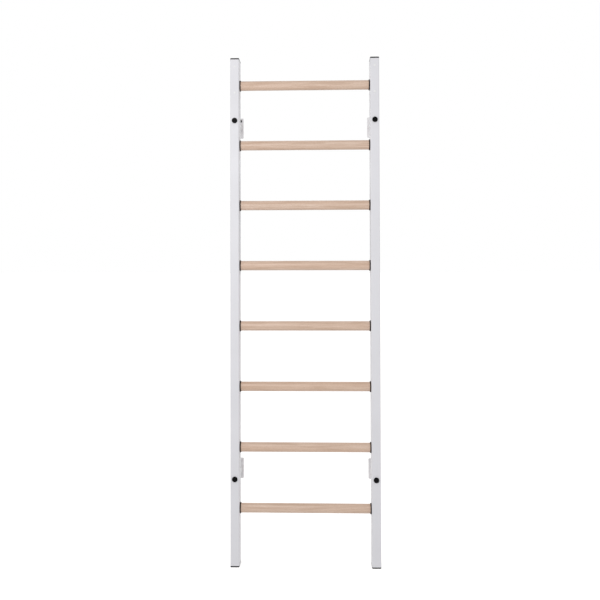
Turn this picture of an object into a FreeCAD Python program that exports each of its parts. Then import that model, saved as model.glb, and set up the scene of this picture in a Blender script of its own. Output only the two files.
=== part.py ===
import FreeCAD, Part

import os
import re

import Sketcher
from FreeCAD import Rotation, Vector

# A rigid wall ladder for a gym or home: two upright steel tubes, eight oval beech rungs between them,
# and four steel brackets that hold the tubes off the wall.
# Axes: X across the ladder, Y towards the wall, Z up. The origin is on the floor, in the middle of the
# ladder's width and depth. Lengths are in millimetres.

RUNG_COUNT = 8
FIN_COUNT = 3

SIZES = {
    # uprights
    "overall_width": 670,
    "rail_width": 40,
    "rail_depth": 60,
    "rail_wall": 2,
    "rail_corner": 4,
    "wall_gap": 99,
    # rungs and the collars at their ends
    "rung_pitch": 272.5,
    "first_rung_height": 253,
    "top_overhang": 118.5,
    "rung_height": 42.5,
    "rung_depth": 31,
    "collar_thickness": 5,
    "collar_rim": 3,
    "collar_recess": 1.5,
    "insert_diameter": 12,
    "insert_length": 22,
    # screws through the uprights into the rungs
    "rung_screw_diameter": 8,
    "rung_screw_grip": 20.5,
    "rung_screw_head": 16,
    "rung_screw_head_height": 1.6,
    "rung_screw_socket": 5,
    # end caps
    "cap_flange": 6,
    "cap_edge_round": 1.5,
    "cap_plug_depth": 20,
    "cap_plug_wall": 2,
    "cap_fin_height": 1.2,
    "cap_fin_reach": 1.4,
    "cap_fin_pitch": 5,
    # wall brackets: a plate on the wall, and a round arm that reaches forward to the upright
    "bracket_sheet": 5,
    "bracket_height": 95,
    "bracket_side_reach": 1.5,
    "bracket_corner": 4,
    "low_bracket_above_rung": 137,
    "high_bracket_below_rung": 164.5,
    "anchor_hole": 10.5,
    "anchor_from_end": 13,
    "arm_diameter": 32,
    "arm_spigot": 26,
    "arm_bore": 22,
    "arm_thread_depth": 30,
    # screws into the wall through the plates' upper holes
    "wall_screw_diameter": 6,
    "wall_screw_head": 12.5,
    "wall_screw_head_height": 3.5,
    "wall_screw_socket": 5,
    "wall_screw_inset": 8.3,
    # bolts from the uprights' fronts into the arms, and the caps over their heads
    "mounting_bolt_diameter": 10,
    "mounting_bolt_grip": 24,
    "mounting_bolt_head": 17,
    "mounting_bolt_head_height": 4.5,
    "mounting_bolt_socket": 6,
    "bolt_cap_wall": 3.6,
    "bolt_cap_top": 1.9,
    "bolt_cap_round": 3,
    # weld nuts inside the uprights, behind the accessory holes
    "nut_diameter": 13,
    "nut_height": 6,
    # accessory holes in the front of the uprights, measured down from the top of the ladder
    "accessory_hole": 8,
    "upper_accessory_drop": 39,
    "lower_accessory_drop": 157,
    "accessory_plug_head": 10,
    "accessory_plug_head_height": 1.2,
    "accessory_plug_stem": 5,
    # small roundings and socket depths
    "head_round": 1,
    "socket_depth": 1.2,
    # clearances
    "hole_clearance": 0.4,
    "fit_gap": 0.1,
}

SIZE_NAME = re.compile(r"[a-z]+(?:_[a-z]+)+")

# Lengths and places that several pieces share, as expressions in the sheet's words.
TOP_RUNG_HEIGHT = f"(first_rung_height + rung_pitch * {RUNG_COUNT - 1})"
TOTAL_HEIGHT = f"({TOP_RUNG_HEIGHT} + top_overhang)"
TUBE_LENGTH = f"({TOTAL_HEIGHT} - 2 * cap_flange)"
BRACKET_HEIGHTS = {
    "low": "(first_rung_height + low_bracket_above_rung)",
    "high": f"({TOP_RUNG_HEIGHT} - high_bracket_below_rung)",
}
BOLT_CAP_HEIGHT = "(mounting_bolt_head_height + bolt_cap_top)"
TOTAL_DEPTH = f"({BOLT_CAP_HEIGHT} + rail_depth + wall_gap)"
WALL_Y = f"({TOTAL_DEPTH} / 2)"
RAIL_FRONT_Y = f"({BOLT_CAP_HEIGHT} - {TOTAL_DEPTH} / 2)"
RAIL_Y = f"({RAIL_FRONT_Y} + rail_depth / 2)"
RAIL_X = "(overall_width / 2 - rail_width / 2)"
INNER_FACE_X = "(overall_width / 2 - rail_width)"
RUNG_SCREW_LENGTH = "(rail_width + collar_thickness - collar_recess + rung_screw_grip)"
RUNG_LENGTH = f"(2 * ({INNER_FACE_X} - collar_thickness + collar_recess))"
COLLAR_HEIGHT = "(rung_height + 2 * collar_rim)"
COLLAR_DEPTH = "(rung_depth + 2 * collar_rim)"
BRACKET_HALF_WIDTH = "(rail_width / 2 + bracket_side_reach)"
PLATE_HOLE_RISE = "(bracket_height / 2 - anchor_from_end)"

SIDES = {"left": -1, "right": 1}
LEVELS = ["low", "high"]
ENDS = {"bottom": -1, "top": 1}
ACCESSORY_HEIGHTS = {
    "upper": f"({TOTAL_HEIGHT} - upper_accessory_drop)",
    "lower": f"({TOTAL_HEIGHT} - lower_accessory_drop)",
}

doc = FreeCAD.newDocument("wall_ladder")
sheet = doc.addObject("Spreadsheet::Sheet", "Sizes")
for row, (alias, size) in enumerate(SIZES.items(), start=1):
    sheet.set(f"A{row}", alias)
    sheet.set(f"B{row}", str(size))
    sheet.setAlias(f"B{row}", alias)
doc.recompute()

nodes = []


def on_sheet(text):
    """The expression with each size name pointed at the sheet."""
    return SIZE_NAME.sub(lambda word: f"Sizes.{word.group()}", text)


def bind(item, where, text):
    """Ties one property to sizes in the sheet."""
    item.setExpression(where, on_sheet(text))


def number(text):
    """The expression's present value."""
    value = sheet.evalExpression(on_sheet(text))
    return float(getattr(value, "Value", value))


def signed(sign, text):
    """The expression, or its mirror image for a negative sign."""
    return text if sign > 0 else f"-({text})"


def new_body(label):
    """An empty body with its own label."""
    body = doc.addObject("PartDesign::Body", label)
    body.Label = label
    return body


def place(body, x, y, z, axis=(0, 0, 1)):
    """Puts a piece at a place given by expressions, with its own Z axis turned towards axis."""
    body.Placement = FreeCAD.Placement(Vector(), Rotation(Vector(0, 0, 1), Vector(*axis)))
    bind(body, "Placement.Base.x", x)
    bind(body, "Placement.Base.y", y)
    bind(body, "Placement.Base.z", z)
    return body


def new_sketch(body, name, plane):
    """An empty sketch on one of the body's own origin planes."""
    sketch = body.newObject("Sketcher::SketchObject", name)
    planes = {item.Role: item for item in body.Origin.OriginFeatures}
    sketch.AttachmentSupport = (planes[plane], "")
    sketch.MapMode = "FlatFace"
    return sketch


def hold(sketch, kind, *where):
    """Adds one dimension to a sketch and ties it to the sheet; the last item is its expression."""
    *ends, text = where
    index = sketch.addConstraint(Sketcher.Constraint(kind, *ends, number(text)))
    bind(sketch, f"Constraints[{index}]", text)


def outline(body, name, plane, corners):
    """A closed outline of straight lines through corners, each corner an (across, up) pair."""
    sketch = new_sketch(body, name, plane)
    points = [Vector(number(across), number(up), 0) for across, up in corners]
    for start, end in zip(points, points[1:] + points[:1]):
        sketch.addGeometry(Part.LineSegment(start, end))
    for line, (across, up) in enumerate(corners):
        before = (line - 1) % len(corners)
        sketch.addConstraint(Sketcher.Constraint("Coincident", before, 2, line, 1))
        hold(sketch, "DistanceX", -1, 1, line, 1, across)
        hold(sketch, "DistanceY", -1, 1, line, 1, up)
    return sketch


def box_outline(body, name, plane, half_across, half_up):
    """A rectangle centred on the body's axis."""
    corners = [
        (f"-({half_across})", f"-({half_up})"),
        (half_across, f"-({half_up})"),
        (half_across, half_up),
        (f"-({half_across})", half_up),
    ]
    return outline(body, name, plane, corners)


def cut_corner_outline(body, name, plane, half_across, half_up, corner):
    """A rectangle centred on the body's axis, with each corner cut off at 45 degrees."""
    near_across, near_up = f"{half_across} - ({corner})", f"{half_up} - ({corner})"
    corners = [
        (f"-({near_across})", f"-({half_up})"),
        (near_across, f"-({half_up})"),
        (half_across, f"-({near_up})"),
        (half_across, near_up),
        (near_across, half_up),
        (f"-({near_across})", half_up),
        (f"-({half_across})", near_up),
        (f"-({half_across})", f"-({near_up})"),
    ]
    return outline(body, name, plane, corners)


def circle(body, name, plane, across, up, diameter):
    """A round hole's or pin's outline."""
    sketch = new_sketch(body, name, plane)
    centre = Vector(number(across), number(up), 0)
    ring = sketch.addGeometry(Part.Circle(centre, Vector(0, 0, 1), number(diameter) / 2))
    hold(sketch, "DistanceX", -1, 1, ring, 3, across)
    hold(sketch, "DistanceY", -1, 1, ring, 3, up)
    hold(sketch, "Diameter", ring, diameter)
    return sketch


def oval(body, name, plane, half_across, half_up, offset="0"):
    """An ellipse on the body's axis, taller than it is wide, on a plane moved along its normal."""
    sketch = new_sketch(body, name, plane)
    bind(sketch, "AttachmentOffset.Base.z", offset)
    top = Vector(0, number(half_up), 0)
    beside = Vector(number(half_across), 0, 0)
    ring = sketch.addGeometry(Part.Ellipse(top, beside, Vector(0, 0, 0)))
    sketch.exposeInternalGeometry(ring)
    long_axis, short_axis = ring + 1, ring + 2
    sketch.addConstraint(Sketcher.Constraint("Coincident", ring, 3, -1, 1))
    sketch.addConstraint(Sketcher.Constraint("Vertical", long_axis))
    hold(sketch, "Distance", long_axis, f"2 * ({half_up})")
    hold(sketch, "Distance", short_axis, f"2 * ({half_across})")
    return sketch


def hexagon(body, name, plane, across_flats):
    """A hexagon socket's outline, centred on the body's axis."""
    half = f"({across_flats} / 2)"
    corner = f"({across_flats} / sqrt(3))"
    return outline(
        body,
        name,
        plane,
        [
            (corner, "0"),
            (f"{corner} / 2", half),
            (f"-{corner} / 2", half),
            (f"-{corner}", "0"),
            (f"-{corner} / 2", f"-{half}"),
            (f"{corner} / 2", f"-{half}"),
        ],
    )


def extrude(body, kind, sketch, length, backwards):
    """A pad or pocket of a length along the sketch's normal and a length the other way."""
    feature = body.newObject(f"PartDesign::{kind}", f"{sketch.Name}_{kind.lower()}")
    feature.Profile = sketch
    feature.SideType = "Two sides"
    bind(feature, "Length", length)
    bind(feature, "Length2", backwards)
    sketch.Visibility = False
    return feature


def pad(body, sketch, length, backwards="0"):
    return extrude(body, "Pad", sketch, length, backwards)


def cut(body, sketch, along, backwards="0"):
    """A pocket that reaches along the sketch's normal by along, and by backwards the other way.

    A pocket's own first direction is against the normal, so the two are handed over swapped.
    """
    body.Document.recompute()
    before = body.Shape.Volume
    feature = extrude(body, "Pocket", sketch, backwards, along)
    body.Document.recompute()
    if not body.Shape.Volume < before:
        raise RuntimeError(f"{feature.Name} of {body.Label} cuts nothing")
    return feature


def round_edges(body, radius, chosen):
    """Rounds the edges of the body's last feature for which chosen(edge) holds."""
    body.Document.recompute()
    base = body.Tip
    names = [f"Edge{place}" for place, edge in enumerate(base.Shape.Edges, start=1) if chosen(edge)]
    if not names:
        raise RuntimeError(f"{body.Label} has no edge to round")
    fillet = body.newObject("PartDesign::Fillet", f"{body.Name}_round_{len(body.Group)}")
    fillet.Base = (base, names)
    bind(fillet, "Radius", radius)
    return fillet


def is_upright(edge):
    """True for a straight edge along the body's own Z."""
    if not isinstance(edge.Curve, Part.Line):
        return False
    return abs(edge.Curve.Direction.z) > 0.999


def top_ring(radius_text, height_text):
    """A test for the round edge of this radius at this height on the body's own axis."""
    radius, height = number(radius_text), number(height_text)

    def chosen(edge):
        if not isinstance(edge.Curve, Part.Circle):
            return False
        return abs(edge.Curve.Radius - radius) < 0.01 and abs(edge.Curve.Center.z - height) < 0.01

    return chosen


def turned(label, corners):
    """A body turned about its own Z axis from half its section, given as (radius, height) corners."""
    body = new_body(label)
    sketch = outline(body, f"{label}_section", "XZ_Plane", corners)
    revolution = body.newObject("PartDesign::Revolution", f"{label}_turned")
    revolution.Profile = sketch
    revolution.ReferenceAxis = (sketch, ["V_Axis"])
    revolution.Angle = 360
    sketch.Visibility = False
    return body


def keep(item):
    """Marks a piece as one of the ladder's nodes."""
    nodes.append(item)
    return item


def group(label, members):
    """One node for several separate solids of the same kind."""
    compound = doc.addObject("Part::Compound", label)
    compound.Label = label
    compound.Links = members
    return keep(compound)


def one_way(sign, length):
    """The two reaches of a pad or pocket that goes one way only: along the normal for a positive sign."""
    return (length, "0") if sign > 0 else ("0", length)


def rail(side, name):
    """An upright: a rectangular tube with rounded corners and the holes of what is fastened to it."""
    body = new_body(f"{name}_rail")
    section = box_outline(body, f"{name}_rail_section", "XY_Plane", "rail_width / 2", "rail_depth / 2")
    pad(body, section, TUBE_LENGTH)
    round_edges(body, "rail_corner", is_upright)
    hollow = box_outline(
        body,
        f"{name}_rail_hollow",
        "XY_Plane",
        "rail_width / 2 - rail_wall",
        "rail_depth / 2 - rail_wall",
    )
    cut(body, hollow, TUBE_LENGTH)
    inside = number("rail_width / 2 - rail_wall") + 0.01
    inside_depth = number("rail_depth / 2 - rail_wall") + 0.01

    def is_inside(edge):
        middle = edge.CenterOfMass
        return is_upright(edge) and abs(middle.x) < inside and abs(middle.y) < inside_depth

    round_edges(body, "rail_corner - rail_wall", is_inside)
    for level in LEVELS:
        height = f"{BRACKET_HEIGHTS[level]} - cap_flange"
        through = circle(
            body,
            f"{name}_{level}_bolt_hole",
            "XZ_Plane",
            "0",
            height,
            "mounting_bolt_diameter + hole_clearance",
        )
        cut(body, through, "rail_depth", "rail_depth")
    for end, height in ACCESSORY_HEIGHTS.items():
        hole = circle(
            body,
            f"{name}_{end}_accessory_hole",
            "XZ_Plane",
            "0",
            f"{height} - cap_flange",
            "accessory_hole",
        )
        cut(body, hole, "rail_depth")
    rung_hole = circle(
        body,
        f"{name}_rung_hole",
        "YZ_Plane",
        "0",
        "first_rung_height - cap_flange",
        "rung_screw_diameter + hole_clearance",
    )
    first = cut(body, rung_hole, "rail_width", "rail_width")
    row = body.newObject("PartDesign::LinearPattern", f"{name}_rung_holes")
    row.Originals = [first]
    row.Direction = (rung_hole, ["V_Axis"])
    row.Occurrences = RUNG_COUNT
    bind(row, "Length", f"rung_pitch * {RUNG_COUNT - 1}")
    body.Tip = row
    return keep(place(body, signed(side, RAIL_X), RAIL_Y, "cap_flange"))


def end_cap(side, name, end, up):
    """A plastic cap: a flange as wide as the tube, and a hollow plug whose fins grip the tube's inside."""
    label = f"{name}_{end}_cap"
    body = new_body(label)
    inside_x = "(rail_width / 2 - rail_wall - fit_gap)"
    inside_y = "(rail_depth / 2 - rail_wall - fit_gap)"
    flange = box_outline(body, f"{label}_flange", "XY_Plane", "rail_width / 2", "rail_depth / 2")
    pad(body, flange, "cap_flange")
    round_edges(body, "rail_corner", is_upright)
    top = number("cap_flange")
    round_edges(body, "cap_edge_round", lambda edge: min(v.Z for v in edge.Vertexes) > top - 0.01)
    corner = "rail_corner - rail_wall"
    fin = cut_corner_outline(body, f"{label}_fin", "XY_Plane", inside_x, inside_y, corner)
    bind(fin, "AttachmentOffset.Base.z", "-cap_fin_pitch")
    core = box_outline(
        body,
        f"{label}_core",
        "XY_Plane",
        f"{inside_x} - cap_fin_reach",
        f"{inside_y} - cap_fin_reach",
    )
    pad(body, core, "0", "cap_plug_depth")
    ring = pad(body, fin, "0", "cap_fin_height")
    fins = body.newObject("PartDesign::LinearPattern", f"{label}_fins")
    fins.Originals = [ring]
    fins.Direction = (fin, ["N_Axis"])
    fins.Reversed = True
    fins.Occurrences = FIN_COUNT
    bind(fins, "Length", f"cap_fin_pitch * {FIN_COUNT - 1}")
    body.Tip = fins
    hollow = box_outline(
        body,
        f"{label}_hollow",
        "XY_Plane",
        f"{inside_x} - cap_fin_reach - cap_plug_wall",
        f"{inside_y} - cap_fin_reach - cap_plug_wall",
    )
    cut(body, hollow, "0", "cap_plug_depth")
    height = f"{TOTAL_HEIGHT} - cap_flange" if up > 0 else "cap_flange"
    return keep(place(body, signed(side, RAIL_X), RAIL_Y, height, (0, 0, up)))


def socket(body, label, across_flats, height):
    """A hexagon socket in the top of a screw's head, whose top is at this height."""
    sketch = hexagon(body, f"{label}_socket", "XY_Plane", across_flats)
    bind(sketch, "AttachmentOffset.Base.z", height)
    cut(body, sketch, "0", "socket_depth")
    return body


def screw(label, shank, length, head, head_height, rounding, across_flats):
    """A screw along its own Z: the underside of its head is at zero and its shank points down."""
    body = turned(
        label,
        [
            ("0", f"-({length})"),
            (f"{shank} / 2", f"-({length})"),
            (f"{shank} / 2", "0"),
            (f"{head} / 2", "0"),
            (f"{head} / 2", head_height),
            ("0", head_height),
        ],
    )
    round_edges(body, rounding, top_ring(f"{head} / 2", head_height))
    return socket(body, label, across_flats, head_height)


def ring(label, outside, inside, length):
    """A plain ring along its own Z, standing on zero."""
    inner, outer = f"({inside}) / 2", f"({outside}) / 2"
    return turned(label, [(inner, "0"), (outer, "0"), (outer, length), (inner, length)])


def rung(place_in_row):
    """A beech rung: an oval bar with a hole for a threaded insert in each end."""
    label = f"rung_{place_in_row + 1}"
    body = new_body(label)
    section = oval(body, f"{label}_section", "YZ_Plane", "rung_depth / 2", "rung_height / 2")
    pad(body, section, f"{RUNG_LENGTH} / 2", f"{RUNG_LENGTH} / 2")
    hole = circle(body, f"{label}_hole", "YZ_Plane", "0", "0", "insert_diameter + fit_gap")
    bind(hole, "AttachmentOffset.Base.z", f"{RUNG_LENGTH} / 2 - insert_length")
    first = cut(body, hole, "insert_length")
    both = body.newObject("PartDesign::Mirrored", f"{label}_holes")
    both.Originals = [first]
    middle = [item for item in body.Origin.OriginFeatures if item.Role == "YZ_Plane"]
    both.MirrorPlane = (middle[0], [""])
    body.Tip = both
    return keep(place(body, "0", RAIL_Y, rung_z(place_in_row)))


def rung_z(place_in_row):
    """The height of a rung's axis."""
    return f"first_rung_height + rung_pitch * {place_in_row}"


def collar(side, name, place_in_row):
    """An oval rosette between the upright and the rung, with a shallow seat that the rung's end fills."""
    label = f"{name}_collar_{place_in_row + 1}"
    body = new_body(label)
    rim = oval(body, f"{label}_rim", "YZ_Plane", f"{COLLAR_DEPTH} / 2", f"{COLLAR_HEIGHT} / 2")
    pad(body, rim, *one_way(-side, "collar_thickness"))
    face = number(signed(-side, "collar_thickness"))
    round_edges(body, "head_round", lambda edge: all(abs(v.X - face) < 0.01 for v in edge.Vertexes))
    seat = oval(
        body,
        f"{label}_seat",
        "YZ_Plane",
        "rung_depth / 2 + fit_gap",
        "rung_height / 2 + fit_gap",
        signed(-side, "collar_thickness - collar_recess"),
    )
    cut(body, seat, *one_way(-side, "collar_recess"))
    hole = circle(body, f"{label}_hole", "YZ_Plane", "0", "0", "rung_screw_diameter + hole_clearance")
    cut(body, hole, *one_way(-side, "collar_thickness"))
    return keep(place(body, signed(side, INNER_FACE_X), RAIL_Y, rung_z(place_in_row)))


def rung_screw(side, name, place_in_row):
    """A long low-headed screw through both walls of the upright into the rung's insert."""
    body = screw(
        f"{name}_rung_screw_{place_in_row + 1}",
        "rung_screw_diameter",
        RUNG_SCREW_LENGTH,
        "rung_screw_head",
        "rung_screw_head_height",
        "head_round",
        "rung_screw_socket",
    )
    return place(body, signed(side, "overall_width / 2"), RAIL_Y, rung_z(place_in_row), (side, 0, 0))


def rung_insert(side, name, place_in_row):
    """A threaded steel insert, flush with the rung's end."""
    body = ring(
        f"{name}_rung_insert_{place_in_row + 1}",
        "insert_diameter",
        "rung_screw_diameter + fit_gap",
        "insert_length",
    )
    return place(body, signed(side, f"{RUNG_LENGTH} / 2"), RAIL_Y, rung_z(place_in_row), (-side, 0, 0))


def bracket(side, name, level):
    """A steel wall plate behind an upright, in its own frame: zero is where the bolt's axis meets the wall.

    Its middle hole takes the arm's spigot, its upper hole the wall screw, and its lower hole is left free
    for a wall anchor.
    """
    label = f"{name}_{level}_bracket"
    body = new_body(label)
    plate = box_outline(body, f"{label}_plate", "XZ_Plane", BRACKET_HALF_WIDTH, "bracket_height / 2")
    pad(body, plate, "bracket_sheet")

    def is_through(edge):
        return isinstance(edge.Curve, Part.Line) and abs(edge.Curve.Direction.y) > 0.999

    round_edges(body, "bracket_corner", is_through)
    front = -number("bracket_sheet")
    round_edges(body, "head_round", lambda edge: all(abs(v.Y - front) < 0.01 for v in edge.Vertexes))
    holes = {
        "spigot_hole": ("0", "0", "arm_spigot + fit_gap"),
        "screw_hole": (
            signed(-side, "wall_screw_inset"),
            PLATE_HOLE_RISE,
            "wall_screw_diameter + hole_clearance",
        ),
        "anchor_hole": ("0", f"-{PLATE_HOLE_RISE}", "anchor_hole"),
    }
    for hole, (across, up, diameter) in holes.items():
        sketch = circle(body, f"{label}_{hole}", "XZ_Plane", across, up, diameter)
        cut(body, sketch, "bracket_sheet")
    return keep(place(body, signed(side, RAIL_X), WALL_Y, BRACKET_HEIGHTS[level]))


def arm(side, name, level):
    """A round tube from the wall plate to the upright, with a thick threaded end for the mounting bolt."""
    bore = "(mounting_bolt_diameter + fit_gap) / 2"
    body = turned(
        f"{name}_{level}_arm",
        [
            ("arm_bore / 2", "0"),
            ("arm_spigot / 2", "0"),
            ("arm_spigot / 2", "bracket_sheet"),
            ("arm_diameter / 2", "bracket_sheet"),
            ("arm_diameter / 2", "wall_gap"),
            (bore, "wall_gap"),
            (bore, "wall_gap - arm_thread_depth"),
            ("arm_bore / 2", "wall_gap - arm_thread_depth"),
        ],
    )
    return keep(place(body, signed(side, RAIL_X), WALL_Y, BRACKET_HEIGHTS[level], (0, -1, 0)))


def wall_screw(side, name, level):
    """The plate's part of a wall screw: its head, and its shank down to the wall."""
    body = screw(
        f"{name}_{level}_wall_screw",
        "wall_screw_diameter",
        "bracket_sheet",
        "wall_screw_head",
        "wall_screw_head_height",
        "head_round",
        "wall_screw_socket",
    )
    across = signed(side, f"{RAIL_X} - wall_screw_inset")
    height = f"{BRACKET_HEIGHTS[level]} + {PLATE_HOLE_RISE}"
    return place(body, across, f"{WALL_Y} - bracket_sheet", height, (0, -1, 0))


def mounting_bolt(side, name, level):
    """A bolt from the front of the upright into the bracket's arm."""
    body = screw(
        f"{name}_{level}_mounting_bolt",
        "mounting_bolt_diameter",
        "rail_depth + mounting_bolt_grip",
        "mounting_bolt_head",
        "mounting_bolt_head_height",
        "head_round",
        "mounting_bolt_socket",
    )
    return place(body, signed(side, RAIL_X), RAIL_FRONT_Y, BRACKET_HEIGHTS[level], (0, -1, 0))


def bolt_cap(side, name, level):
    """A black domed cap over a mounting bolt's head."""
    label = f"{name}_{level}_bolt_cap"
    outside = "(mounting_bolt_head / 2 + bolt_cap_wall)"
    inside = "(mounting_bolt_head / 2 + fit_gap)"
    roof = "(mounting_bolt_head_height + fit_gap)"
    body = turned(
        label,
        [
            (inside, "0"),
            (outside, "0"),
            (outside, BOLT_CAP_HEIGHT),
            ("0", BOLT_CAP_HEIGHT),
            ("0", roof),
            (inside, roof),
        ],
    )
    round_edges(body, "bolt_cap_round", top_ring(outside, BOLT_CAP_HEIGHT))
    return place(body, signed(side, RAIL_X), RAIL_FRONT_Y, BRACKET_HEIGHTS[level], (0, -1, 0))


def accessory_nut(side, name, end, height):
    """A weld nut inside the upright behind an accessory hole."""
    body = ring(f"{name}_{end}_accessory_nut", "nut_diameter", "accessory_hole", "nut_height")
    return place(body, signed(side, RAIL_X), f"{RAIL_FRONT_Y} + rail_wall", height, (0, 1, 0))


def accessory_plug(side, name, end, height):
    """A white plug with a low domed head that closes an accessory hole."""
    label = f"{name}_{end}_accessory_plug"
    body = turned(
        label,
        [
            ("0", "-accessory_plug_stem"),
            ("(accessory_hole - fit_gap) / 2", "-accessory_plug_stem"),
            ("(accessory_hole - fit_gap) / 2", "0"),
            ("accessory_plug_head / 2", "0"),
            ("accessory_plug_head / 2", "accessory_plug_head_height"),
            ("0", "accessory_plug_head_height"),
        ],
    )
    round_edges(body, "head_round", top_ring("accessory_plug_head / 2", "accessory_plug_head_height"))
    return place(body, signed(side, RAIL_X), RAIL_FRONT_Y, height, (0, -1, 0))


corners = [(side, name, level) for name, side in SIDES.items() for level in LEVELS]
rung_ends = [(side, name, row) for name, side in SIDES.items() for row in range(RUNG_COUNT)]
accessories = [
    (side, name, end, height) for name, side in SIDES.items() for end, height in ACCESSORY_HEIGHTS.items()
]
BLACK_SCREW_CORNER = ("left", "high")

for name, side in SIDES.items():
    rail(side, name)
    for end, up in ENDS.items():
        end_cap(side, name, end, up)
for row in range(RUNG_COUNT):
    rung(row)
for side, name, row in rung_ends:
    collar(side, name, row)
for side, name, level in corners:
    bracket(side, name, level)
    arm(side, name, level)
    if (name, level) == BLACK_SCREW_CORNER:
        keep(wall_screw(side, name, level))

group("rung_screws", [rung_screw(*end) for end in rung_ends])
group("rung_inserts", [rung_insert(*end) for end in rung_ends])
group("wall_screws", [wall_screw(*corner) for corner in corners if corner[1:] != BLACK_SCREW_CORNER])
group("mounting_bolts", [mounting_bolt(*corner) for corner in corners])
group("mounting_bolt_caps", [bolt_cap(*corner) for corner in corners])
group("accessory_plugs", [accessory_plug(*hole) for hole in accessories])
group("weld_nuts", [accessory_nut(*hole) for hole in accessories])

doc.recompute()
for item in doc.Objects:
    if "Invalid" in item.State or "Error" in item.State:
        raise RuntimeError(f"{item.Label} failed: {item.State}")

os.makedirs("parts", exist_ok=True)
for node in nodes:
    if node.Shape.isNull() or not node.Shape.isValid() or not node.Shape.Solids:
        raise RuntimeError(f"{node.Label} has no valid solid")
    node.Shape.exportStep(f"parts/{node.Label}.step")
    box = node.Shape.BoundBox
    spans = ((box.XMin, box.XMax), (box.YMin, box.YMax), (box.ZMin, box.ZMax))
    extent = "  ".join(f"{low:8.1f} {high:8.1f}" for low, high in spans)
    print(f"{node.Label:26s} {len(node.Shape.Solids):2d} {node.Shape.Volume / 1000:9.2f} cm3 {extent}")
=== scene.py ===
# %% [markdown]
# # A wall ladder of white steel and beech
#
# The real object is two upright steel tubes with eight oval beech rungs between them, the kind that is
# bolted to the wall of a gym or a child's room. Four brackets, each a wall plate with a round arm, hold
# the tubes off the wall.
# Every hard piece is already solid in the CAD model, at its true size, so this script doesn't model them
# again. It loads them as a fixed frame and gives each one its finish, then sets the camera and the light.

# %% Load the ladder
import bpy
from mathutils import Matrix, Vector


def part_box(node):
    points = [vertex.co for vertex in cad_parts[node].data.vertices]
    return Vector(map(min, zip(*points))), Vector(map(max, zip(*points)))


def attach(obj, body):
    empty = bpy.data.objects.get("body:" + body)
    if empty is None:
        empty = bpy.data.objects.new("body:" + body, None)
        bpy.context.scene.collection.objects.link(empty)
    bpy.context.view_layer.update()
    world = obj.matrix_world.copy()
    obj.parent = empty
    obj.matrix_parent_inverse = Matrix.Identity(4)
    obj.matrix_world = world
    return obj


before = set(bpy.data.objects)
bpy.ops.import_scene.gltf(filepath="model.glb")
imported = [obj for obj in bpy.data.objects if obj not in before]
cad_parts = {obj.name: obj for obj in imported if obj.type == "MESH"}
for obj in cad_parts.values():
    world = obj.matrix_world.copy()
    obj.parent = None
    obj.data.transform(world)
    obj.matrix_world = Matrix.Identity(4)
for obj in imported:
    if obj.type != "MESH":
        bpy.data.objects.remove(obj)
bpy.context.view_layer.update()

# %% The other modules
import math

import bmesh
import bpy
from mathutils import Matrix, Vector

MM = 0.001  # CAD sizes are thought of in millimetres, and Blender's are metres

# %% [markdown]
# ## The camera
#
# A ladder is tall and narrow, so its uprights show any tilt of the camera at once. The camera could be
# aimed with a Track To constraint, but then its turn is worked out from a target and its roll is lost.
# Here the turn is written as three angles: left about the vertical, up from the horizon, and a small roll
# about the line of sight. A 36 mm lens less than three metres away shows a strip of each upright's inner
# side. The camera stands a little above the ladder's middle. Tilting it down would splay the uprights, so
# the lens is shifted a little instead, as on an architect's camera.

# %% Place the camera
LENS_MM, SENSOR_MM = 36, 36
LENS_SHIFT = -0.067  # a share of the frame's width
FARTHEST_SEEN = 200  # metres
CAMERA_PLACE = Vector((0.047, -2.759, 1.327))
CAMERA_LEFT, CAMERA_UP, CAMERA_ROLL = 1.471, 0.885, -0.130  # degrees

camera = bpy.data.objects.new("ladder_camera", bpy.data.cameras.new("ladder_camera"))
camera.data.lens = LENS_MM
camera.data.shift_y = LENS_SHIFT
camera.data.sensor_width = SENSOR_MM
camera.data.clip_end = FARTHEST_SEEN
turn = (
    Matrix.Rotation(math.radians(CAMERA_LEFT), 4, "Z")
    @ Matrix.Rotation(math.radians(90 + CAMERA_UP), 4, "X")
    @ Matrix.Rotation(math.radians(CAMERA_ROLL), 4, "Z")
)
camera.matrix_world = Matrix.Translation(CAMERA_PLACE) @ turn
bpy.context.scene.collection.objects.link(camera)
bpy.context.scene.camera = camera
print("camera looks along", [round(value, 3) for value in turn @ Vector((0, 0, -1))])

# %% [markdown]
# ## Sums on shader sockets
#
# A finish is a small sum: grain times its strength, plus a base, minus the pores. Placing a Math node by
# hand for each step hides that sum. This class wraps one output socket, so that Python's own + - * / add
# the nodes, also with a plain number on the left, as in 1 - mask. Places and directions go through Vector
# Math nodes, because a Math node would keep only one number of the three. Every other kind of node comes
# from the one method node().

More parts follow.
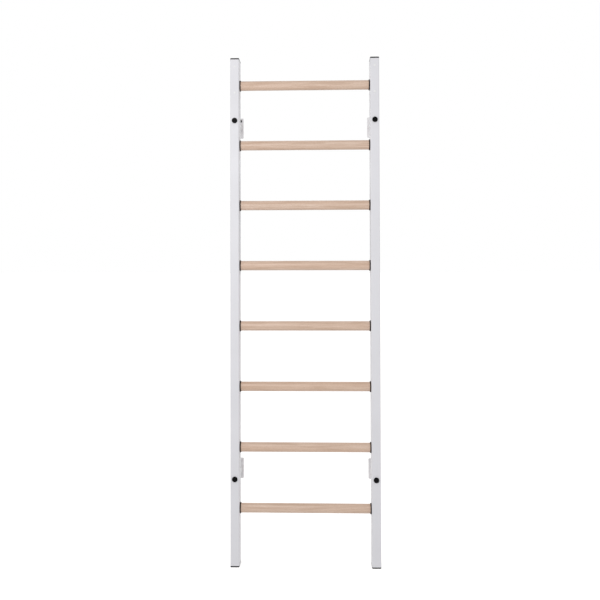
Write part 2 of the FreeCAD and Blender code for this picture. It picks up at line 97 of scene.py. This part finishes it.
# %% A socket that can be added and multiplied
class Wire:
    """One output socket of a shader node."""

    def __init__(self, socket):
        self.socket = socket

    @classmethod
    def node(cls, tree, kind, settings=(), sockets=(), out=0):
        """Adds a node: its settings first, then the values or links of its sockets."""
        made = tree.nodes.new(kind)
        for name, value in dict(settings).items():
            if name == "stops":
                cls.fill_ramp(made.color_ramp, value)
            else:
                setattr(made, name, value)
        for name, value in dict(sockets).items():
            cls.feed(made.inputs[name], value)
        return cls(made.outputs[out])

    @staticmethod
    def fill_ramp(ramp, stops):
        """Stops are (place, brightness) pairs."""
        while len(ramp.elements) < len(stops):
            ramp.elements.new(1.0)
        for element, (place, brightness) in zip(ramp.elements, stops):
            element.position = place
            element.color = (brightness, brightness, brightness, 1.0)

    @staticmethod
    def feed(socket, value):
        """Links a Wire to an input, or sets the input to a number, colour or vector."""
        if isinstance(value, Wire):
            socket.id_data.links.new(value.socket, socket)
        elif socket.type == "RGBA":
            socket.default_value = (*value, 1.0)
        elif socket.type == "VECTOR" and isinstance(value, (int, float)):
            socket.default_value = (value, value, value)
        else:
            socket.default_value = value

    def joined(self, operation, first, second):
        kind = "ShaderNodeVectorMath" if self.socket.type == "VECTOR" else "ShaderNodeMath"
        return Wire.node(self.socket.id_data, kind, {"operation": operation}, {0: first, 1: second})

    def __add__(self, other):
        return self.joined("ADD", self, other)

    __radd__ = __add__

    def __mul__(self, other):
        return self.joined("MULTIPLY", self, other)

    __rmul__ = __mul__

    def __sub__(self, other):
        return self.joined("SUBTRACT", self, other)

    def __rsub__(self, other):
        return self.joined("SUBTRACT", other, self)

    def __truediv__(self, other):
        return self.joined("DIVIDE", self, other)

    def __pow__(self, other):
        return self.joined("POWER", self, other)


print("Wire does", [name for name in vars(Wire) if name.startswith("__") and "init" not in name][:8])

# %% [markdown]
# ## Small helpers that every finish uses
#
# All the pieces sit at the origin with their places in their meshes, so Object coordinates are metres in
# the ladder's own frame. A pattern made from them has a true size: a noise of scale 1000 has lumps about
# a millimetre wide. Blender could unwrap each piece instead, but flat maps would stretch on the tubes'
# rounded corners, and the grain of a rung would break at its seam.

# %% Noise, colour mixing and an empty finish
def where(tree):
    """Each surface point's place in the ladder's frame, in metres."""
    return Wire.node(tree, "ShaderNodeTexCoord", out="Object")


def noise(place, scale, detail=2.0, roughness=0.5):
    """Soft lumps between about 0.3 and 0.7, 1 / scale metres wide."""
    return Wire.node(
        place.socket.id_data,
        "ShaderNodeTexNoise",
        {"noise_dimensions": "3D"},
        {"Vector": place, "Scale": scale, "Detail": detail, "Roughness": roughness},
    )


def spread(value, low, high, to_low=0.0, to_high=1.0):
    """Stretches low..high of a value to to_low..to_high, and stops there."""
    return Wire.node(
        value.socket.id_data,
        "ShaderNodeMapRange",
        {"interpolation_type": "SMOOTHSTEP", "clamp": True},
        {"Value": value, "From Min": low, "From Max": high, "To Min": to_low, "To Max": to_high},
    )


def mix_colours(factor, first, second):
    """The first colour where factor is 0, and the second where it is 1."""
    return Wire.node(
        factor.socket.id_data,
        "ShaderNodeMix",
        {"data_type": "RGBA", "blend_type": "MIX"},
        {0: factor, 6: first, 7: second},
        out=2,
    )


def bumps(height, depth_mm):
    """A Normal from a height of 0..1 that is depth_mm deep."""
    return Wire.node(
        height.socket.id_data,
        "ShaderNodeBump",
        sockets={"Height": height, "Distance": depth_mm * MM, "Strength": 1.0},
    )


def voronoi(place, scale, out="Distance", feature="F1"):
    """Cells 1 / scale metres wide: the distance to each cell's middle, or its colour."""
    sockets = {"Vector": place, "Scale": scale}
    return Wire.node(place.socket.id_data, "ShaderNodeTexVoronoi", {"feature": feature}, sockets, out)


def shaded(colour, factor):
    """A colour made lighter or darker."""
    return tuple(channel * factor for channel in colour)


finishes = {}


def new_finish(slot, even=()):
    """An empty finish for one of the record's slots. The sockets in even are the same all over."""
    finish = bpy.data.materials.new(f"{slot}_finish")
    finish.use_nodes = True
    tree = finish.node_tree
    shader = tree.nodes["Principled BSDF"]
    for name, value in dict(even).items():
        Wire.feed(shader.inputs[name], value)
    finishes[slot] = finish
    return tree, shader.inputs


# %% [markdown]
# ## White powder coat on the uprights
#
# The tubes are sprayed with dry powder and baked. The powder melts into a tough skin that never lies
# quite flat: it has a fine orange peel, ripples a millimetre or two apart and a few hundredths of a
# millimetre deep. They break up each reflection a little, which is how the eye tells powder coat from
# bare paper white. Ripples could be modelled, but at this depth a bump is the honest tool. The colour
# drifts by a percent or so where the coat is thicker, and the gloss drifts with it.

# %% Powder coat
def powder_coat(slot, white, peel_scale, peel_depth_mm, dull):
    """A baked powder skin. white is its colour, and dull its middle roughness."""
    tree, into = new_finish(slot, {"Specular IOR Level": 0.45})
    place = where(tree)
    peel = noise(place, peel_scale, detail=1.5, roughness=0.45)
    dust = noise(place, peel_scale * 5, detail=1.0)
    drift = spread(noise(place, 7, detail=3.0), 0.3, 0.7)
    speck = spread(noise(place, 900, detail=0.0), 0.74, 0.78)
    coat = mix_colours(drift, white, shaded(white, 0.972))
    Wire.feed(into["Base Color"], mix_colours(speck * 0.5, coat, shaded(white, 0.9)))
    Wire.feed(into["Roughness"], dull + (drift - 0.5) * 0.08 + (dust - 0.5) * 0.06)
    Wire.feed(into["Normal"], bumps(peel * 0.85 + dust * 0.15, peel_depth_mm))


powder_coat("rail_paint", white=(0.79, 0.785, 0.82), peel_scale=620, peel_depth_mm=0.035, dull=0.40)
# The brackets wear the uprights' own powder coat, here painted lighter: painted light that lifts the plates
# out of the uprights' shade.
powder_coat("bracket_paint", white=(0.83, 0.82, 0.84), peel_scale=540, peel_depth_mm=0.05, dull=0.46)
print("powder coats:", sorted(finishes))

# %% [markdown]
# ## Lacquered beech
#
# Beech is pale and pinkish, with rings that hardly show, and it is known by its flecks: short dark
# dashes, a few millimetres long, where the rays of the trunk are cut. A picture of wood would repeat and
# smear round the oval, so the wood is made as a solid block that the rung is cut from. The distance from
# the heart of the tree, far outside the rung, makes the rings. Noise that is stretched along the rung
# makes the bands, streaks, fibres and pores, from broad to fine, and a stretched Voronoi pattern makes the
# flecks. Each rung is cut from another place in the tree: its number, worked out from its height, picks
# the heart's direction and the tone.

# %% Which rung a point is on
low_rung, next_rung = ([sum(c) / 2 for c in zip(*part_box(name))] for name in ("rung_1", "rung_2"))
RUNG_PITCH = next_rung[2] - low_rung[2]
print(f"rungs are {RUNG_PITCH / MM:.0f} mm apart, the lowest at {low_rung[2] / MM:.0f} mm")


def rung_number(height):
    """0 on the lowest rung and 7 on the highest."""
    steps = (height - (low_rung[2] - RUNG_PITCH / 2)) / RUNG_PITCH
    return Wire.node(height.socket.id_data, "ShaderNodeMath", {"operation": "FLOOR"}, {0: steps})


# %% Rings, fibres and flecks
RING_MM = 3.1
HEART_MM = 75  # how far the heart of the tree lies from the rung, across it
RING_WAVER = 0.011  # metres
MOST_LEAN = 1.2  # how far the heart lies above or below the rung, at most, for each metre across
RING_STOPS = [(0.0, 0.55), (0.12, 1.0), (0.6, 0.85), (0.9, 0.15), (1.0, 0.5)]  # place in the ring, paleness
FLECKS_PER_METRE = (170, 950, 950)  # along the rung, across it and up


def own_number(number, salt):
    """A fixed random number from 0 to 1 for each rung."""
    sockets = {"W": number + salt}
    return Wire.node(
        number.socket.id_data, "ShaderNodeTexWhiteNoise", {"noise_dimensions": "1D"}, sockets, "Value"
    )


def growth_rings(across, up, number, waver):
    """Near 1 in the pale early wood of each ring, falling to 0.15 in its thin dark edge."""
    tree = up.socket.id_data
    lean = own_number(number, 3.7) * (2 * MOST_LEAN) - MOST_LEAN
    heart_across = HEART_MM * MM * (0.75 + own_number(number, 9.1) * 0.5)
    from_heart = (across + heart_across) ** 2.0 + (up - lean * heart_across) ** 2.0
    reach = from_heart ** 0.5 + waver * RING_WAVER
    turn_of_ring = Wire.node(tree, "ShaderNodeMath", {"operation": "FRACT"}, {0: reach / (RING_MM * MM)})
    return Wire.node(tree, "ShaderNodeValToRGB", {"stops": RING_STOPS}, {"Fac": turn_of_ring})


def ray_flecks(place):
    """1 on the short dark dashes where rays are cut, and 0 between them."""
    stretched = place * FLECKS_PER_METRE
    reach = voronoi(stretched, 1.0)
    chosen = Wire.node(
        place.socket.id_data, "ShaderNodeSeparateColor", sockets={0: voronoi(stretched, 1.0, "Color")}
    )
    return spread(reach, 0.34, 0.22) * spread(chosen, 0.45, 0.6)


# %% Beech
PALE, WARM = (0.800, 0.625, 0.512), (0.728, 0.518, 0.394)
RING_BROWN, FLECK_BROWN, PORE_BROWN = (0.545, 0.364, 0.254), (0.47, 0.30, 0.205), (0.33, 0.20, 0.13)


def along_the_grain(place, per_metre, detail=2.0, roughness=0.5):
    """Noise with its lumps per metre along the rung, and across and up, given apart."""
    along, across = per_metre
    return noise(place * (along, across, across), 1.0, detail, roughness)


def beech():
    tree, into = new_finish("beech", {"Coat Roughness": 0.22, "Coat IOR": 1.5})
    place = where(tree)
    y, z = (Wire.node(tree, "ShaderNodeSeparateXYZ", sockets={0: place}, out=axis) for axis in "YZ")
    number = rung_number(z)
    up = z - (number * RUNG_PITCH + low_rung[2])
    across = y - low_rung[1]
    rings = growth_rings(across, up, number, waver=along_the_grain(place, (1.6, 9)) - 0.5)
    bands = along_the_grain(place, (1.1, 34))
    streaks = along_the_grain(place, (7, 120))
    fibres = along_the_grain(place, (11, 250), detail=5.0, roughness=0.62)
    pores = spread(along_the_grain(place, (300, 3600), detail=0.0), 0.63, 0.7)
    flecks = ray_flecks(place)
    tone = own_number(number, 5.3)

    wood = mix_colours(spread(bands, 0.32, 0.68) * 0.55 + tone * 0.45, PALE, WARM)
    for amount, brown in (
        (spread(streaks, 0.42, 0.66) * 0.46, RING_BROWN),
        ((1 - rings) * 0.30, RING_BROWN),
        (spread(fibres, 0.38, 0.66) * 0.36, RING_BROWN),
        (flecks * 0.55, FLECK_BROWN),
        (pores * 0.35, PORE_BROWN),
    ):
        wood = mix_colours(amount, wood, brown)
    Wire.feed(into["Base Color"], wood)
    Wire.feed(into["Roughness"], 0.40 + (fibres - 0.5) * 0.25 + pores * 0.12)
    Wire.feed(into["Coat Weight"], 0.28 - pores * 0.2)
    relief = 1 - (1 - rings) * 0.12 - flecks * 0.15 - pores * 0.35 - fibres * 0.25
    Wire.feed(into["Normal"], bumps(relief, 0.05))


beech()
print("beech has", len(finishes["beech"].node_tree.nodes), "nodes")

# %% [markdown]
# ## Black, brown and white plastics
#
# The collars, end caps and bolt caps are moulded. A mould for a part like this is spark-eroded, which
# leaves a fine, even grain that hides finger marks, so the black never looks like a hole in the picture:
# its bumps catch the light. The bolt caps come from a polished mould and are smooth, with only a slow
# waviness where the cap shrank as it cooled, and the small plugs are the same plastic in white. One
# function makes all of them, and only its numbers differ.

# %% Moulded plastic
def moulded_plastic(slot, colour, grain_scale, grain_depth_mm, dull, worn=1.25, shine=0.5):
    """worn is what the colour is multiplied by in places, and shine how strongly the skin reflects."""
    tree, into = new_finish(slot, {"Specular IOR Level": shine})
    place = where(tree)
    grain = noise(place, grain_scale, detail=2.0, roughness=0.6)
    cells = voronoi(place, grain_scale * 0.8, feature="SMOOTH_F1")
    flow = spread(noise(place, 45, detail=3.0), 0.3, 0.7)
    skin = mix_colours(flow * 0.7 + (grain - 0.5) * 0.6, colour, shaded(colour, worn))
    Wire.feed(into["Base Color"], skin)
    Wire.feed(into["Roughness"], dull + (flow - 0.5) * 0.1 + (grain - 0.5) * 0.12)
    Wire.feed(into["Normal"], bumps(grain * 0.6 + cells * 0.4, grain_depth_mm))


moulded_plastic("collar_plastic", (0.016, 0.009, 0.007), 1500, 0.06, dull=0.66, worn=1.5, shine=0.12)
moulded_plastic("end_cap_plastic", (0.006, 0.006, 0.0065), 1300, 0.08, dull=0.62, shine=0.12)
moulded_plastic("bolt_cap_plastic", (0.003, 0.003, 0.0035), 260, 0.015, dull=0.34, shine=0.06)
moulded_plastic("plug_plastic", (0.86, 0.86, 0.86), 700, 0.02, dull=0.34, worn=0.96)
print("plastics:", [slot for slot in finishes if "plastic" in slot])

# %% [markdown]
# ## Screws and bolts
#
# Three finishes are found on the fittings. The heads on the white tubes and plates are painted to match,
# thinly, so that the scuffs of the steel still show through. One wall screw is black. The bolts, nuts and
# inserts are zinc plated: a grey metal whose passivated skin drifts between a little yellow and a little
# blue, with tiny crystals that make its gloss uneven. Metal could be left one grey, but then it looks like
# grey plastic, because all the life of a metal is in its reflections.

# %% White and black screws
def painted_screw(slot, colour, dull, shine=0.5):
    """Paint so thin that it is a little lighter where it is scuffed."""
    tree, into = new_finish(slot, {"Specular IOR Level": shine})
    place = where(tree)
    runs = noise(place, 420, detail=2.0)
    scuffs = spread(noise(place * (1, 1, 4), 600, detail=3.0), 0.58, 0.7)
    lighter = tuple(min(channel * 1.12 + 0.004, 0.9) for channel in colour)
    Wire.feed(into["Base Color"], mix_colours(scuffs * 0.6 + runs * 0.3, colour, lighter))
    Wire.feed(into["Roughness"], dull + scuffs * 0.12)
    Wire.feed(into["Normal"], bumps(runs, 0.03))


painted_screw("screw_paint", (0.76, 0.75, 0.77), dull=0.40)
painted_screw("black_screw", (0.006, 0.006, 0.007), dull=0.42, shine=0.2)

# %% Zinc plate
def zinc_plate():
    tree, into = new_finish("zinc_steel")
    place = where(tree)
    crystals = voronoi(place, 1100)
    drift = spread(noise(place, 60, detail=3.0), 0.3, 0.7)
    yellowish, bluish = (0.66, 0.645, 0.585), (0.575, 0.60, 0.645)
    Wire.feed(into["Metallic"], spread(crystals, 0.0, 1.0, to_low=1.0, to_high=0.92))
    Wire.feed(into["Base Color"], mix_colours(drift, yellowish, bluish))
    Wire.feed(into["Roughness"], 0.26 + crystals * 0.12 + drift * 0.10)
    Wire.feed(into["Normal"], bumps(crystals, 0.02))


zinc_plate()
print("finishes:", sorted(finishes))

# %% [markdown]
# ## Each piece takes its finish
#
# The CAD pieces come in with one plain material each, named after its slot in the record. The plain one
# is swapped for the finish of the same name in the object's own slot, so the mesh isn't touched.

# %% Swap the plain materials
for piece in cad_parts.values():
    for material_slot in piece.material_slots:
        slot = material_slot.material.name.split(".")[0]
        material_slot.link = "OBJECT"
        material_slot.material = finishes[slot]
print(len(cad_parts), "pieces have their finish")

# %% [markdown]
# ## Weld beads where the arms meet their plates
#
# Each round arm is welded to its wall plate, and the weld shows from the side and from above. It isn't a
# smooth ring: the molten puddle freezes in small steps as the torch goes round, so the bead has fine
# ripples, and it is a little fatter where the welder started and stopped. A torus would look moulded.
# Here a small rounded section is carried round the arm in steps, and each step has its own size. The
# beads are under the paint, so they wear the brackets' finish.

# %% Lay the beads
RIPPLES = 40
STEPS_PER_RIPPLE = 6
# How far out and forward each corner of the bead's section is, in millimetres.
BEAD_SECTION = [(-0.3, -0.3), (4.2, -0.3), (3.5, 1.2), (2.4, 2.4), (1.2, 3.5), (-0.3, 4.2)]


def bead_size(angle, start):
    """1 on average: a sharp-edged ripple, a slow unevenness and a lump where the bead closes."""
    ripple = 0.07 * math.sin(RIPPLES * angle) + 0.03 * math.sin(2 * RIPPLES * angle + 0.6)
    slow = 0.05 * math.sin(3 * angle + start) + 0.03 * math.sin(5 * angle - 2 * start)
    lump = 0.16 * math.exp(-((angle - math.pi) / 0.16) ** 2)
    return 1 + ripple + slow + lump


def weld_bead(name, middle, radius, plate_front, start):
    """A bead round an arm that runs along Y, lying against the plate's front face."""
    mesh = bmesh.new()
    steps = RIPPLES * STEPS_PER_RIPPLE
    rings = []
    for step in range(steps):
        angle = step * math.tau / steps
        size = bead_size(angle, start)
        turned = angle + start
        ring = []
        for out, forward in BEAD_SECTION:
            reach = radius + out * MM * (size if out > 0 else 1)
            depth = plate_front - forward * MM * (size if forward > 0 else 1)
            ring.append(mesh.verts.new((
                middle.x + reach * math.cos(turned), depth, middle.z + reach * math.sin(turned)
            )))
        rings.append(ring)
    for ring, following in zip(rings, rings[1:] + rings[:1]):
        for corner in range(len(ring)):
            ahead = (corner + 1) % len(ring)
            face = mesh.faces.new((ring[corner], following[corner], following[ahead], ring[ahead]))
            face.smooth = True
    bmesh.ops.recalc_face_normals(mesh, faces=mesh.faces)
    data = bpy.data.meshes.new(name)
    mesh.to_mesh(data)
    mesh.free()
    bead = bpy.data.objects.new(name, data)
    data.materials.append(finishes["bracket_paint"])
    bpy.context.scene.collection.objects.link(bead)
    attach(bead, "root")
    return bead


for order, corner in enumerate(("left_low", "left_high", "right_low", "right_high")):
    arm_low, arm_high = (Vector(end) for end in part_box(f"{corner}_arm"))
    plate_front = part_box(f"{corner}_bracket")[0][1]
    bead = weld_bead(
        f"{corner}_weld", (arm_low + arm_high) / 2, (arm_high.x - arm_low.x) / 2, plate_front, 1.3 * order
    )
    print(bead.name, len(bead.data.vertices), "points round a", f"{(arm_high.x - arm_low.x) / MM:.0f} mm arm")

# %% [markdown]
# ## Floor and light
#
# A white object on white needs care: with one lamp it either burns out or turns grey. A product studio
# uses big soft sources. Here a pale floor runs far back under a white sky, one large soft box stands
# high in front on the left, and a weak one stands high behind, on the wall's side. The large sizes keep
# the shadows soft, and the height of the main box makes the tubes a little darker towards the floor, as
# they are in a room. A floor this pale would light every underside as strongly as the sky lights the
# tops, and the rungs would lose their roundness. So the matt surfaces don't see the floor, and the lower
# half of the sky gives them a weaker light in its place.

# %% Floor
FLOOR_SIZE = 400  # metres
FLOOR_GLOW = 0.50


def pale_floor():
    bpy.ops.mesh.primitive_grid_add(x_subdivisions=8, y_subdivisions=8, size=FLOOR_SIZE)
    floor = bpy.context.object
    floor.name = "studio_floor"
    paint = bpy.data.materials.new("studio_floor_paint")
    paint.use_nodes = True
    tree = paint.node_tree
    shader = tree.nodes["Principled BSDF"].inputs
    cloud = noise(where(tree), 1.5, detail=3.0)
    Wire.feed(shader["Base Color"], mix_colours(cloud, (0.920, 0.902, 0.890), (0.935, 0.918, 0.907)))
    Wire.feed(shader["Roughness"], 0.75 + cloud * 0.1)
    Wire.feed(shader["Emission Color"], (1.0, 1.0, 1.0))
    Wire.feed(shader["Emission Strength"], FLOOR_GLOW)
    floor.data.materials.append(paint)
    floor.visible_diffuse = False


pale_floor()

# %% Sky and soft boxes
def white_sky(seen, low, overhead, below):
    """seen is how bright the sky looks. What it gives goes from low at the horizon to overhead at the top,
    and below takes the floor's part."""
    sky = bpy.data.worlds.new("studio_sky")
    bpy.context.scene.world = sky
    sky.use_nodes = True
    tree = sky.node_tree
    direction = Wire.node(tree, "ShaderNodeTexCoord", out="Generated")
    split = Wire.node(tree, "ShaderNodeSeparateXYZ", sockets={0: direction}, out="Z")
    lift = Wire.node(tree, "ShaderNodeMath", {"operation": "MAXIMUM"}, {0: split, 1: 0.0})
    under = Wire.node(tree, "ShaderNodeMath", {"operation": "LESS_THAN"}, {0: split, 1: 0.0})
    felt = lift ** 2.0 * (overhead - low) + under * (below - low) + low
    looked_at = Wire.node(tree, "ShaderNodeLightPath", out="Is Camera Ray")
    background = tree.nodes["Background"].inputs
    Wire.feed(background["Color"], (1.0, 1.0, 1.0))
    Wire.feed(background["Strength"], felt + looked_at * (seen - felt))


def soft_box(name, place, aim, width, height, watts):
    lamp = bpy.data.lights.new(name, "AREA")
    lamp.shape = "RECTANGLE"
    lamp.size, lamp.size_y = width, height
    lamp.energy = watts
    box = bpy.data.objects.new(name, lamp)
    box.location = place
    box.rotation_euler = (Vector(aim) - Vector(place)).to_track_quat("-Z", "Y").to_euler()
    box.visible_camera = False
    bpy.context.scene.collection.objects.link(box)


white_sky(seen=1.0, low=0.76, overhead=0.55, below=0.62)
soft_box("main_box", place=(-0.9, -2.8, 2.2), aim=(0, 0, 1.3), width=2.0, height=1.6, watts=30)
soft_box("wall_side_box", place=(0.0, 2.2, 2.6), aim=(0, 0, 1.5), width=1.6, height=1.2, watts=3)

view = bpy.context.scene.view_settings
view.view_transform = "Standard"
view.look = "None"

# %% [markdown]
# ## Size and finish
#
# The finishes change how the ladder looks, never how big it is.
